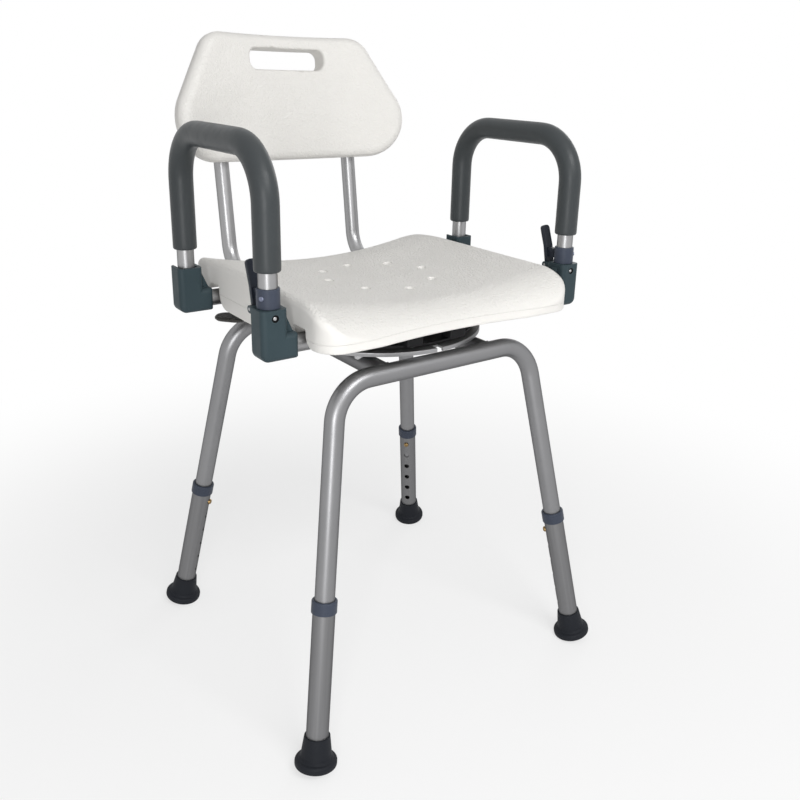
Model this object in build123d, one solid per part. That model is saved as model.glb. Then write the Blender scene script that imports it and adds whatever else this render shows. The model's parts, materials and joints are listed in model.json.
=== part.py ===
from build123d import *
import os
from math import radians, cos, sin, sqrt

# Swivel shower chair: front is -Y, up is +Z, origin on the floor under the swivel axis.
# All sizes are millimetres. Left is -X and right is +X, as seen from the front.

# Leg frame
hoop_tube_od = 25.4
hoop_tube_wall = 1.5
hoop_bar_z = 477.0
hoop_bar_y = 144.4
hoop_corner_x = 155.6
hoop_bend_r = 55.0
foot_x = 232.7
foot_y = 217.9
rail_x = 83.0

# Telescoping legs, lengths along the leg from the floor
leg_tube_od = 28.6
leg_tube_length = 205.0
slide_clearance = 0.3
hole_pitch = 25.4
hole_count = 6
hole_d = 9.0
hole_clearance = 0.3
leg_end_room = 4.0
collar_od = 32.4
collar_height = 16.5
collar_lip = 2.0
collar_round = 1.8
button_below_collar = 30.5
button_proud = 3.6
button_round = 3.0
spring_strip = 0.8
spring_width = 8.0
spring_inset = 1.6
spring_above = 7.0
spring_below = 8.0
spring_fold = 32.0
spring_nose = 2.0
tip_above_floor = 4.0
tip_length = 40.0
tip_floor = 10.0
tip_base_d = 53.8
tip_base_h = 11.0
tip_base_r = 4.0
tip_neck_flare = 3.6
tip_crease = 2.5
tip_wall = 2.1
tip_recess = 2.5
tip_sole = 11.0
tip_sole_slope = 3.0

# Swivel
disc_margin = 9.0
disc_plate = 2.8
disc_lip = 5.5
disc_lip_wall = 3.0
disc_edge_r = 1.5
notch_count = 4
notch_width = 9.0
notch_depth = 11.0
washer_crown = 5.0
washer_d = 24.0
disc_bolt_y = 92.0
disc_bolt_d = 6.0
disc_bolt_head = 2.4
disc_bolt_end = 8.0
disc_nut_h = 6.0
glide_inset = 22.0
glide_width = 18.0
glide_h = 3.0
running_gap = 0.1
plate_past_tube = 8.2
top_plate = 3.0
pivot_d = 12.0
pivot_clearance = 0.05
pivot_head_h = 7.0
pivot_flange_h = 1.5
pivot_nut_h = 9.0
pivot_end = 3.0
bush_od = 18.0
bush_flange_d = 28.0
bush_flange_h = 2.4

# Seat, its heights measured from the cross tubes
seat_half_width = 197.0
seat_front_y = -190.0
seat_rear_y = 184.0
seat_corner_r = 30.0
seat_rise = 28.0
seat_dish = 23.0
seat_roll_r = 60.0
seat_fall_length = 94.0
seat_fall_r = 500.0
seat_edge_r = 9.0
seat_hem_r = 3.0
seat_skirt_drop = 13.0
seat_front_drop = 3.5
seat_back_rise = 8.0
seat_skin = 9.0
seat_rib = 5.0
seat_wall = 8.0
seat_rib_columns = 5
pocket_front_in = 26.0
pocket_rear_in = 12.0
pocket_step = 6.0
arch_clearance = 1.9
arch_rise = 17.5
arch_top_r = 2.0
arch_flare = 0.75
arch_depth = 24.0
drain_circle_d = 156.0
drain_hole_d = 14.0
drain_count = 8

# Cross tubes and their saddles
cross_tube_od = 22.2
cross_tube_wall = 1.5
cross_tube_rise = 30.4
cross_tube_inset = 7.2
saddle_length = 26.0
saddle_depth = 22.0
saddle_open = 2.0
saddle_corner_r = 3.0
front_saddle_x = 35.0
rear_saddle_x = 60.0
seat_bolt_d = 6.0
seat_bolt_grip = 12.0

# Armrests
arm_beside_seat = 38.2
arm_front_inset = 60.2
arm_rear_inset = 77.2
arm_rise = 223.0
arm_tube_od = 22.2
arm_tube_wall = 1.2
arm_bend_r = 62.0
grip_od = 31.1
grip_front_drop = 135.0
grip_rear_drop = 152.0
grip_end_r = 3.0
arm_pivot_rise = 26.0
arm_pin_d = 8.0
arm_pin_cover = 3.0
plug_shoulder = 14.0
plug_spigot = 20.0

# Arm brackets, their heights measured from the cross tubes
bracket_half = 16.5
bracket_drop = 14.0
bracket_rise = 47.0
bracket_gap = 8.0
bracket_boss_rise = 17.0
bracket_boss_r = 2.5
bracket_round = 7.0
bracket_foot_r = 10.0
gusset_below_top = 5.0
gusset_thick = 9.0
bracket_screw_d = 4.0
bracket_screw_below = 9.5
bracket_screw_sink = 2.6
bracket_screw_head = 1.8
screw_recess_d = 8.6
socket_d = 25.0
socket_depth = 20.0
arm_slot_clearance = 0.4

# Latch sleeves and latch levers, their heights measured from the bracket tops
sleeve_od = 27.0
sleeve_rise = 23.0
sleeve_seat = 5.0
sleeve_step = 0.3
sleeve_edge_r = 1.2
spigot_length = 18.0
spigot_top_d = 24.2
spigot_end_d = 19.2
catch_rise = 12.7
catch_height = 9.0
catch_width = 10.0
rivet_d = 6.0
rivet_proud = 1.2
rivet_hold = 3.0
rivet_turn = 30.0
lever_behind_arm = 26.8
lever_pivot_drop = 7.0
lever_width = 13.0
lever_thick = 6.6
lever_kink = (5.5, 26.0)
lever_top = (15.5, 54.0)
lever_pin_d = 4.0
lever_knuckle_d = 9.0
lever_ear = 4.0
ear_root = 3.0
nose_rise = 15.0
nose_height = 5.0
nose_width = 8.0
nose_gap = 2.7

# Backrest, its heights measured along the tubes from their lower corners
back_tube_od = 22.2
back_tube_wall = 1.5
back_tube_x = 112.2
back_behind_seat = 51.1
back_lean = 7.7
back_bend_r = 50.0
back_tube_top = 300.0
back_socket_wall = 1.5
back_socket_length = 58.0
cap_height = 3.0
cap_edge_r = 1.5
cap_spigot = 14.0
panel_bottom = 164.7
panel_height = 184.0
panel_thick = 32.0
panel_bow_r = 480.0
panel_seat_depth = 5.2
panel_low_x = 235.3
panel_low_r = 60.0
panel_top_x = 129.9
panel_top_r = 40.0
panel_edge_r = 13.0
slot_length = 126.0
slot_height = 30.0
slot_r = 12.0
slot_below_top = 35.5
slot_edge_r = 4.0
back_screw_d = 5.0
back_screw_head = 3.0
back_screw_round = 1.6
back_screw_rows = (200.0, 272.0)

# Lock lever
lock_inset = 38.0
lock_rise = 5.4
lock_pin_d = 4.0
lock_lug = 4.0
lock_strip = 2.5
lock_width = 14.0
lock_knuckle_d = 8.0
elbow_past_disc = 3.0
paddle_past_disc = 38.5
paddle_y = 81.0
paddle_length = 46.0
paddle_width = 30.0
paddle_thick = 6.0
paddle_edge = 2.0
paddle_turn = 131.0
tongue_inset = 4.0
tongue_thick = 4.0
tongue_width = 7.0
tongue_above_disc = 1.0

# Clearance of a snug fit between pieces of one body, and how far a cutter reaches past a face
snug = 0.05
past = 1.0

# Levels that follow from the sizes above
rail_top_z = hoop_bar_z + hoop_tube_od / 2
disc_under_z = rail_top_z + washer_crown
disc_top_z = disc_under_z + disc_plate
plate_under_z = disc_top_z + glide_h + running_gap
plate_top_z = plate_under_z + top_plate
cross_tube_z = plate_top_z + cross_tube_rise
lock_pivot_z = plate_top_z + lock_rise
seat_middle_z = cross_tube_z + seat_rise
seat_skirt_z = cross_tube_z - seat_skirt_drop
seat_front_z = cross_tube_z - seat_front_drop
seat_back_z = cross_tube_z + seat_back_rise
bracket_bottom_z = cross_tube_z - bracket_drop
bracket_top_z = cross_tube_z + bracket_rise
bracket_boss_z = cross_tube_z + bracket_boss_rise
bracket_screw_z = bracket_top_z - bracket_screw_below
gusset_top_z = bracket_top_z - gusset_below_top
arm_pivot_z = cross_tube_z + arm_pivot_rise
arm_top_z = cross_tube_z + arm_rise
grip_front_z = arm_top_z - grip_front_drop
grip_rear_z = arm_top_z - grip_rear_drop
sleeve_seat_z = bracket_top_z + sleeve_seat
sleeve_top_z = bracket_top_z + sleeve_rise
catch_z = bracket_top_z + catch_rise
lever_pivot_z = bracket_top_z - lever_pivot_drop
nose_z = bracket_top_z + nose_rise

# Places that follow from the seat's outline
arm_x = seat_half_width + arm_beside_seat
bracket_inner_x = seat_half_width + bracket_gap
cross_tube_end = arm_x - cross_tube_inset
arm_front_y = seat_front_y + arm_front_inset
arm_rear_y = seat_rear_y - arm_rear_inset
lever_pivot_y = arm_front_y + lever_behind_arm
seat_roll_y = seat_front_y + seat_roll_r
seat_fall_y = seat_rear_y - seat_fall_length
back_corner_y = seat_rear_y + back_behind_seat
top_plate_d = 2 * (plate_past_tube - arm_front_y)
disc_d = top_plate_d + 2 * disc_margin
glide_outer_d = top_plate_d - 2 * glide_inset
glide_inner_d = glide_outer_d - 2 * glide_width
lock_pivot_x = lock_inset - top_plate_d / 2
tongue_x = tongue_inset - disc_d / 2
lock_elbow_x = -disc_d / 2 - elbow_past_disc
paddle_x = -disc_d / 2 - paddle_past_disc

# Lengths along a leg
leg_tube_start = tip_above_floor + tip_floor
leg_tube_end = leg_tube_start + leg_tube_length
collar_top = leg_tube_end + collar_lip
button_at = collar_top - button_below_collar
leg_travel = hole_pitch * (hole_count - 1)
hoop_leg_end = leg_tube_start + leg_travel + leg_end_room
sides = {"left": -1, "right": 1}
ends = {"front": -1, "rear": 1}


def rod(radius, start, end):
    base = (Align.CENTER, Align.CENTER, Align.MIN)
    return Pos(0, 0, start) * Cylinder(radius, end - start, align=base)


def ring(outer, inner, start, end):
    return rod(outer, start, end) - rod(inner, start - past, end + past)


def rod_x(radius, start, end, y, z):
    return Pos(0, y, z) * Rot(0, 90, 0) * rod(radius, start, end)


def rod_y(radius, start, end, x, z):
    return Pos(x, 0, z) * Rot(-90, 0, 0) * rod(radius, start, end)


def block(low, high):
    size = [b - a for a, b in zip(low, high)]
    middle = [(a + b) / 2 for a, b in zip(low, high)]
    return Pos(*middle) * Box(*size)


def bent_tube(points, bend, od, wall):
    path = FilletPolyline(*points, radius=bend)
    section = Circle(od / 2)
    if wall:
        section = section - Circle(od / 2 - wall)
    return sweep((path ^ 0) * section, path=path)


def on_side(shape, side):
    return shape if side > 0 else mirror(shape, about=Plane.YZ)


def leg_plane(side, end):
    foot = Vector(side * foot_x, end * foot_y, 0)
    corner = Vector(side * hoop_corner_x, end * hoop_bar_y, hoop_bar_z)
    up = (corner - foot).normalized()
    inward = Vector(0, 0, 1).cross(up).cross(up).normalized()
    return Plane(origin=foot, x_dir=inward, z_dir=up)


def radial_hole(radius, at, reach):
    return Pos(0, 0, at) * Rot(0, 90, 0) * rod(radius, 0, reach)


def leg_hoop(end):
    legs = [leg_plane(side, end) for side in (-1, 1)]
    corners = [Vector(side * hoop_corner_x, end * hoop_bar_y, hoop_bar_z) for side in (-1, 1)]
    tips = [leg.origin + leg.z_dir * hoop_leg_end for leg in legs]
    hoop = bent_tube([tips[0], *corners, tips[1]], hoop_bend_r, hoop_tube_od, hoop_tube_wall)
    for leg in legs:
        hoop -= leg * radial_hole(hole_d / 2, button_at, hoop_tube_od)
    return hoop


def side_rail(side):
    rail = rod_y(hoop_tube_od / 2, -hoop_bar_y, hoop_bar_y, side * rail_x, hoop_bar_z)
    rail -= rod_y(hoop_tube_od / 2 - hoop_tube_wall, -hoop_bar_y, hoop_bar_y, side * rail_x, hoop_bar_z)
    for end in (-1, 1):
        rail -= rod_x(hoop_tube_od / 2 + snug, -foot_x, foot_x, end * hoop_bar_y, hoop_bar_z)
        rail -= disc_bolt_hole(side, end)
    return rail


def disc_bolt_hole(side, end):
    hole = rod(disc_bolt_d / 2 + snug, hoop_bar_z - hoop_tube_od, disc_top_z)
    return Pos(side * rail_x, end * disc_bolt_y, 0) * hole


def lower_tube():
    outer = leg_tube_od / 2
    tube = ring(outer, hoop_tube_od / 2 + slide_clearance, leg_tube_start, leg_tube_end)
    for row in range(hole_count):
        tube -= radial_hole(hole_d / 2, button_at - row * hole_pitch, leg_tube_od)
    return tube


def collar():
    outer = collar_od / 2
    body = rod(outer, collar_top - collar_height, collar_top)
    body = fillet(body.edges().group_by(Axis.Z)[-1], collar_round)
    body = fillet(body.edges().group_by(Axis.Z)[0], collar_round / 2)
    body -= rod(leg_tube_od / 2 + snug, collar_top - collar_height - past, leg_tube_end + snug)
    return body - rod(hoop_tube_od / 2 + slide_clearance, leg_tube_end, collar_top + past)


def foot_tip(side, end):
    bore = leg_tube_od / 2 + snug
    rim = bore + tip_wall
    neck = rim + tip_neck_flare
    base = tip_base_d / 2
    shoulder = base - tip_base_r
    with BuildSketch(Plane.XZ) as profile:
        with BuildLine():
            Polyline((0, tip_floor), (0, tip_recess), (base - tip_sole, tip_recess))
            Polyline((base - tip_sole, tip_recess), (base - tip_sole + tip_sole_slope, 0), (shoulder, 0))
            RadiusArc((shoulder, 0), (base, tip_base_r), -tip_base_r)
            Line((base, tip_base_r), (base, tip_base_h - tip_base_r))
            RadiusArc((base, tip_base_h - tip_base_r), (shoulder, tip_base_h), -tip_base_r)
            Polyline((shoulder, tip_base_h), (neck, tip_base_h + tip_crease), (rim, tip_length))
            Polyline((rim, tip_length), (bore, tip_length), (bore, tip_floor), (0, tip_floor))
        make_face()
    tip = revolve(profile.sketch, axis=Axis.Z)
    tip = leg_plane(side, end) * Pos(0, 0, tip_above_floor) * tip
    return tip - block((-2 * foot_x, -2 * foot_y, -tip_length), (2 * foot_x, 2 * foot_y, 0))


def snap_button():
    reach = leg_tube_od / 2 + button_proud
    leaf = hoop_tube_od / 2 - hoop_tube_wall - spring_inset
    button = radial_hole(hole_d / 2 - hole_clearance, button_at, reach)
    button -= radial_hole(hole_d, button_at, leaf)
    button = fillet(button.edges().group_by(Axis.X)[-1], button_round)
    fold = (spring_nose, button_at - spring_fold)
    top = (leaf, button_at + spring_above)
    line = Polyline(top, (leaf, button_at - spring_below), fold, (-leaf, button_at))
    strip = extrude(Plane.XZ * trace(line, spring_strip), spring_width / 2, both=True)
    return button + strip


def swivel_base_disc():
    outer = disc_d / 2
    disc = rod(outer, disc_top_z - disc_lip, disc_top_z)
    disc = fillet(disc.edges().group_by(Axis.Z)[-1], disc_edge_r)
    disc -= rod(outer - disc_lip_wall, disc_top_z - disc_lip - past, disc_under_z)
    disc -= rod(pivot_d / 2 + snug, disc_under_z - past, disc_top_z + past)
    notch = block(
        (outer - notch_depth, -notch_width / 2, disc_top_z - 2 * disc_lip),
        (outer + notch_depth, notch_width / 2, disc_top_z + disc_lip),
    )
    for step in range(notch_count):
        disc -= Rot(0, 0, step * 360 / notch_count) * notch
    for side in (-1, 1):
        for end in (-1, 1):
            disc -= disc_bolt(side, end, snug)
    return disc


def disc_bolt(side, end, room):
    shank = disc_bolt_d / 2 + room
    low = hoop_bar_z - hoop_tube_od / 2 - disc_bolt_end
    head = disc_bolt_d + room
    bolt = rod(shank, low, disc_top_z)
    bolt += Pos(0, 0, disc_top_z - disc_bolt_head / 2) * Cone(shank, head, disc_bolt_head)
    bolt -= rod(2 * head, disc_top_z, disc_top_z + disc_bolt_d)
    return Pos(side * rail_x, end * disc_bolt_y, 0) * bolt


def disc_nut(side, end):
    under = hoop_bar_z - hoop_tube_od / 2
    nut = extrude(Pos(0, 0, under - disc_nut_h) * RegularPolygon(disc_bolt_d * 0.95, 6), 2 * disc_nut_h)
    nut -= rod(disc_bolt_d / 2 + snug, under - 2 * disc_nut_h, under + 2 * disc_nut_h)
    nut -= tube_bed()
    nut &= rod(washer_d, under - disc_nut_h, hoop_bar_z - hoop_tube_od / 4)
    return Pos(side * rail_x, end * disc_bolt_y, 0) * nut


def saddle_washer(side, end):
    washer = ring(washer_d / 2, disc_bolt_d / 2 + snug, hoop_bar_z + hoop_tube_od / 4, disc_under_z)
    return Pos(side * rail_x, end * disc_bolt_y, 0) * (washer - tube_bed())


def tube_bed():
    return rod_y(hoop_tube_od / 2 + snug, -washer_d, washer_d, 0, hoop_bar_z)


def each_corner(make):
    return Compound(children=[make(side, end) for side in (-1, 1) for end in (-1, 1)])


def pivot_bolt():
    head_low = plate_top_z + bush_flange_h + slide_clearance
    nut_low = disc_under_z - pivot_nut_h
    hexagon = RegularPolygon(pivot_d * 0.9, 6)
    bolt = rod(pivot_d / 2, nut_low - pivot_end, head_low)
    bolt += extrude(Pos(0, 0, head_low) * hexagon, pivot_head_h)
    bolt += rod(pivot_d * 1.05, head_low, head_low + pivot_flange_h)
    nut = extrude(Pos(0, 0, nut_low) * hexagon, pivot_nut_h)
    nut -= rod(pivot_d / 2 + snug, nut_low - past, disc_under_z + past)
    return Compound(children=[bolt, nut])


def pivot_bush():
    bush = rod(bush_od / 2, plate_under_z, plate_top_z + bush_flange_h)
    bush += rod(bush_flange_d / 2, plate_top_z, plate_top_z + bush_flange_h)
    return bush - rod(pivot_d / 2 + pivot_clearance, plate_under_z - past, plate_top_z + 2 * bush_flange_h)


def saddle_places():
    front = [(side * front_saddle_x, arm_front_y) for side in (-1, 1)]
    rear = [(side * rear_saddle_x, arm_rear_y) for side in (-1, 1)]
    return front + rear


def seat_bolt(room):
    shank = seat_bolt_d / 2 + room
    head = seat_bolt_d + room
    top = cross_tube_z + cross_tube_od / 2 + seat_bolt_grip
    bolt = rod(shank, plate_under_z, top + room)
    return bolt + Pos(0, 0, plate_under_z + seat_bolt_d / 4) * Cone(head, shank, seat_bolt_d / 2)


def swivel_top_plate():
    plate = rod(top_plate_d / 2, plate_under_z, plate_top_z)
    plate -= rod(bush_od / 2 + snug, plate_under_z - past, plate_top_z + past)
    for x, y in saddle_places():
        plate -= Pos(x, y, 0) * seat_bolt(snug)
    ear = lock_pin_d * 2.2
    for side in (-1, 1):
        inner = lock_width / 2 + slide_clearance
        flanks = sorted((side * inner, side * (inner + lock_lug)))
        low = (lock_pivot_x - ear / 2, flanks[0], plate_top_z)
        lug = block(low, (lock_pivot_x + ear / 2, flanks[1], lock_pivot_z + ear / 2))
        plate += fillet(lug.edges().filter_by(Axis.Y).group_by(Axis.Z)[-1], ear / 2.2)
    return plate - rod_y(lock_pin_d / 2 + snug, -2 * lock_width, 2 * lock_width, lock_pivot_x, lock_pivot_z)


def cross_tube_saddle(x, y):
    half = saddle_length / 2
    deep = saddle_depth / 2
    saddle = block((-half, -deep, plate_top_z), (half, deep, cross_tube_z - saddle_open))
    saddle = fillet(saddle.edges().filter_by(Axis.Z), saddle_corner_r)
    saddle -= rod_x(cross_tube_od / 2 + snug, -saddle_length, saddle_length, 0, cross_tube_z)
    return Pos(x, y, 0) * (saddle - seat_bolt(snug))


def cross_tube(y, bolt_x):
    tube = rod_x(cross_tube_od / 2, -cross_tube_end, cross_tube_end, y, cross_tube_z)
    tube -= rod_x(cross_tube_od / 2 - cross_tube_wall, -cross_tube_end, cross_tube_end, y, cross_tube_z)
    for side in (-1, 1):
        tube -= Pos(side * bolt_x, y, 0) * seat_bolt(snug)
    return tube


def seat_bow_r():
    return (seat_half_width**2 + seat_dish**2) / (2 * seat_dish)


def seat_dish_cutter():
    reach = seat_half_width + seat_dish
    bow_r = seat_bow_r()
    high = seat_middle_z + 4 * seat_dish
    edge_z = seat_middle_z + bow_r - sqrt(bow_r**2 - reach**2)
    with BuildSketch(Plane.XZ) as above:
        with BuildLine():
            ThreePointArc((-reach, edge_z), (0, seat_middle_z), (reach, edge_z))
            Polyline((reach, edge_z), (reach, high), (-reach, high), (-reach, edge_z))
        make_face()
    face = above.sketch
    middle = extrude(Pos(0, seat_roll_y, 0) * face, -(seat_fall_y - seat_roll_y))
    roll_axis = Axis((0, seat_roll_y, seat_middle_z - seat_roll_r), (1, 0, 0))
    fall_axis = Axis((0, seat_fall_y, seat_middle_z - seat_fall_r), (1, 0, 0))
    roll = revolve(Pos(0, seat_roll_y, 0) * face, axis=roll_axis, revolution_arc=100)
    fall = revolve(Pos(0, seat_fall_y, 0) * face, axis=fall_axis, revolution_arc=-16)
    return middle + roll + fall


def seat_blank():
    middle_y = (seat_front_y + seat_rear_y) / 2
    depth = seat_rear_y - seat_front_y
    plan = Pos(0, middle_y) * RectangleRounded(2 * seat_half_width, depth, seat_corner_r)
    blank = extrude(Pos(0, 0, seat_skirt_z) * plan, seat_middle_z + 3 * seat_dish - seat_skirt_z)
    return blank - seat_dish_cutter()


def tube_arch(y, front_z, rear_z):
    half = cross_tube_od / 2 + arch_clearance
    top = cross_tube_z + arch_rise
    low = seat_skirt_z - arch_depth
    front_r = arch_flare * (top - front_z)
    rear_r = arch_flare * (top - rear_z)
    bend = sqrt(0.5)
    front = (y - half - front_r, front_z)
    front_end = (y - half, front_z + front_r)
    front_middle = (front[0] + front_r * bend, front_z + front_r * (1 - bend))
    rear = (y + half + rear_r, rear_z)
    rear_end = (y + half, rear_z + rear_r)
    rear_middle = (rear[0] - rear_r * bend, rear_z + rear_r * (1 - bend))
    with BuildSketch(Plane.YZ) as profile:
        with BuildLine():
            ThreePointArc(front, front_middle, front_end)
            Polyline(front_end, (y - half, top), (y + half, top), rear_end)
            ThreePointArc(rear_end, rear_middle, rear)
            Polyline(rear, (rear[0], low), (front[0], low), front)
        make_face()
        fillet(profile.vertices().group_by(Axis.Y)[-1], arch_top_r)
    arch = Pos(seat_half_width - arch_depth, 0, 0) * extrude(profile.sketch, 2 * arch_depth)
    return arch + mirror(arch, about=Plane.YZ)


def seat_pockets():
    column = (2 * seat_half_width - 2 * seat_wall) / seat_rib_columns
    channel = cross_tube_od / 2 + seat_rib
    middle_y = (arm_front_y + arm_rear_y) / 2
    rows = [
        (seat_front_y + pocket_front_in, arm_front_y - channel),
        (arm_front_y + channel, middle_y - seat_rib / 2),
        (middle_y + seat_rib / 2, arm_rear_y - channel),
        (arm_rear_y + channel, seat_rear_y - pocket_rear_in),
    ]
    pockets = []
    for index in range(seat_rib_columns):
        x_low = -seat_half_width + seat_wall + index * column + seat_rib / 2
        x_high = x_low + column - seat_rib
        near = min(abs(x_low), abs(x_high)) if x_low * x_high > 0 else 0
        roof = seat_middle_z + near**2 / (2 * seat_bow_r()) - seat_skin
        edge = index in (0, seat_rib_columns - 1)
        for y_low, y_high in rows:
            outer_row = y_low < arm_front_y or y_high > arm_rear_y
            if edge and outer_row:
                continue
            if edge:
                y_low = max(y_low, arm_front_y + channel + arch_depth)
                y_high = min(y_high, arm_rear_y - channel - arch_depth)
            drop = pocket_step if outer_row else 0
            pockets.append(block((x_low, y_low, seat_skirt_z - past), (x_high, y_high, roof - drop)))
    return pockets


def seat_body():
    blank = seat_blank()
    rim = [edge for edge in blank.edges() if seat_rim(edge)]
    body = fillet(rim, seat_edge_r)
    wide = 2 * seat_half_width
    body -= block((-wide, 2 * seat_front_y, 0), (wide, arm_front_y, seat_front_z))
    body -= block((-wide, arm_rear_y, 0), (wide, 2 * seat_rear_y, seat_back_z))
    body -= tube_arch(arm_front_y, seat_front_z, seat_skirt_z)
    body -= tube_arch(arm_rear_y, seat_skirt_z, seat_back_z)
    hem = [edge for edge in body.edges() if seat_hem(edge)]
    return fillet(hem, seat_hem_r)


def seat_rim(edge):
    upright = edge.geom_type == GeomType.LINE and abs(edge.tangent_at(0.5).Z) > 0.9
    return on_outline(edge) and edge.center().Z > cross_tube_z and not upright


def seat_hem(edge):
    middle = edge.center()
    on_flank = abs(abs(middle.X) - seat_half_width) < 0.1
    low = min(abs(middle.Z - z) for z in (seat_skirt_z, seat_front_z, seat_back_z)) < 0.1
    front_lip = middle.Y < seat_front_y + seat_corner_r
    around = on_outline(edge) or round_corner(edge) or front_lip
    below_arch = edge.bounding_box().max.Z < cross_tube_z + arch_rise + 0.1
    return below_arch and (on_flank or (low and around))


def on_outline(edge):
    middle = edge.center()
    inside_x = abs(abs(middle.X) - seat_half_width)
    inside_y = min(abs(middle.Y - seat_front_y), abs(middle.Y - seat_rear_y))
    return min(inside_x, inside_y) < 1


def round_corner(edge):
    return edge.geom_type == GeomType.CIRCLE and abs(edge.radius - seat_corner_r) < 0.1


def seat_shell():
    seat = seat_body()
    wide = 2 * seat_half_width
    channel = cross_tube_od / 2 + snug
    for y in (arm_front_y, arm_rear_y):
        seat -= rod_x(channel, -wide, wide, y, cross_tube_z)
        seat -= block((-wide, y - channel, 0), (wide, y + channel, cross_tube_z))
    socket_room = back_tube_od / 2 + back_socket_wall + slide_clearance
    for side in (-1, 1):
        seat -= rod_y(socket_room, arm_rear_y, 2 * seat_rear_y, side * back_tube_x, cross_tube_z)
    for pocket in seat_pockets():
        seat -= pocket
    bolt_top = cross_tube_z + cross_tube_od / 2 + seat_bolt_grip + snug
    for x, y in saddle_places():
        seat -= Pos(x, y, 0) * rod(seat_bolt_d / 2 + snug, 0, bolt_top)
    for place in PolarLocations(drain_circle_d / 2, drain_count):
        seat -= place * rod(drain_hole_d / 2, 0, 2 * seat_middle_z)
    return seat


def bracket_blank():
    outer = arm_x + bracket_half
    inner = arm_x - bracket_half
    with BuildSketch(Plane.XZ) as profile:
        with BuildLine():
            Polyline(
                (bracket_inner_x, bracket_bottom_z),
                (outer, bracket_bottom_z),
                (outer, bracket_top_z),
                (inner, bracket_top_z),
                (inner, bracket_boss_z),
                (bracket_inner_x, bracket_boss_z),
                close=True,
            )
        make_face()
        foot = profile.vertices().sort_by_distance((outer, 0, bracket_bottom_z))[0]
        fillet(foot, bracket_foot_r)
        corner = profile.vertices().sort_by_distance((inner, 0, bracket_boss_z))[0]
        fillet(corner, bracket_boss_r)
    blank = extrude(profile.sketch, bracket_half, both=True)
    edges = blank.faces().filter_by(Axis.Y).edges()
    blank = fillet([edge for edge in edges if not square_edge(edge)], bracket_round)
    blank = fillet(blank.faces().sort_by(Axis.X)[0].edges(), bracket_boss_r)
    bore = rod_x(cross_tube_od / 2 + snug, bracket_inner_x - past, cross_tube_end + snug, 0, cross_tube_z)
    return blank + bracket_gusset() - bore


def bracket_gusset():
    inner = arm_x - bracket_half
    root = bracket_boss_z - bracket_boss_r
    with BuildSketch(Plane.XZ) as web:
        with BuildLine():
            Polyline(
                (inner + bracket_boss_r, root),
                (inner + bracket_boss_r, gusset_top_z),
                (inner, gusset_top_z),
                (bracket_inner_x + bracket_boss_r, bracket_boss_z),
                (bracket_inner_x + bracket_boss_r, root),
                close=True,
            )
        make_face()
    return extrude(web.sketch, gusset_thick / 2, both=True)


def square_edge(edge):
    at_top = abs(edge.center().Z - bracket_top_z) < 0.1
    at_boss = abs(edge.center().X - bracket_inner_x) < 0.1
    return at_top or at_boss


def front_bracket():
    bracket = Pos(0, arm_front_y, 0) * bracket_blank()
    socket = rod(socket_d / 2, bracket_top_z - socket_depth, bracket_top_z + past)
    bracket -= Pos(arm_x, arm_front_y, 0) * socket
    face_y = arm_front_y + bracket_half
    for side in (-1, 1):
        ear_x = arm_x + side * (lever_width / 2 + slide_clearance + lever_ear / 2)
        half = lever_knuckle_d / 2
        ear = block(
            (ear_x - lever_ear / 2, face_y - ear_root, lever_pivot_z - half),
            (ear_x + lever_ear / 2, lever_pivot_y, lever_pivot_z + half),
        )
        ear += rod_x(half, ear_x - lever_ear / 2, ear_x + lever_ear / 2, lever_pivot_y, lever_pivot_z)
        ear -= Pos(arm_x, arm_front_y, 0) * rod(socket_d / 2 + past, 0, arm_top_z)
        bracket += ear
    bracket -= latch_pin(snug)
    return bracket - bracket_screw(snug)


def bracket_screw(room):
    front = arm_front_y - bracket_half
    floor = front + bracket_screw_sink
    screw = rod_y(bracket_screw_d / 2 + room, floor, arm_front_y - socket_d / 2, arm_x, bracket_screw_z)
    if room:
        return screw + rod_y(screw_recess_d / 2, front - past, floor, arm_x, bracket_screw_z)
    return screw + rod_y(bracket_screw_d * 0.7, floor - bracket_screw_head, floor, arm_x, bracket_screw_z)


def rear_bracket():
    bracket = Pos(0, arm_rear_y, 0) * bracket_blank()
    half = arm_tube_od / 2 + arm_slot_clearance
    slot = block(
        (arm_x - half, arm_rear_y - half, arm_pivot_z - half),
        (arm_x + half, arm_rear_y + 2 * bracket_half, bracket_top_z + past),
    )
    return bracket - slot - arm_pin(snug)


def arm_pin(room):
    outer = arm_x + bracket_half - arm_pin_cover
    return rod_x(arm_pin_d / 2 + room, arm_x - bracket_half, outer + room, arm_rear_y, arm_pivot_z)


def latch_pin(room):
    reach = lever_width / 2 + slide_clearance + lever_ear
    return rod_x(lever_pin_d / 2 + room, arm_x - reach, arm_x + reach, lever_pivot_y, lever_pivot_z)


def latch_lever():
    sleeve_back = arm_front_y + sleeve_od / 2
    kink = (lever_pivot_y + lever_kink[0], lever_pivot_z + lever_kink[1])
    top = (lever_pivot_y + lever_top[0], lever_pivot_z + lever_top[1])
    stem = Plane.YZ * trace(Polyline((lever_pivot_y, lever_pivot_z), kink, top), lever_thick)
    lever = Pos(arm_x, 0, 0) * extrude(stem, lever_width / 2, both=True)
    half = lever_width / 2
    lever += rod_x(lever_knuckle_d / 2, arm_x - half, arm_x + half, lever_pivot_y, lever_pivot_z)
    nose = block(
        (arm_x - nose_width / 2, sleeve_back + nose_gap, nose_z - nose_height / 2),
        (arm_x + nose_width / 2, kink[0] - past, nose_z + nose_height / 2),
    )
    lever += nose
    tip = lever.edges().filter_by(Axis.X).group_by(Axis.Z)[-1]
    lever = fillet(tip, lever_thick * 0.4)
    return lever - rod_x(lever_pin_d / 2 + snug, 0, 2 * arm_x, lever_pivot_y, lever_pivot_z)


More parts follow.
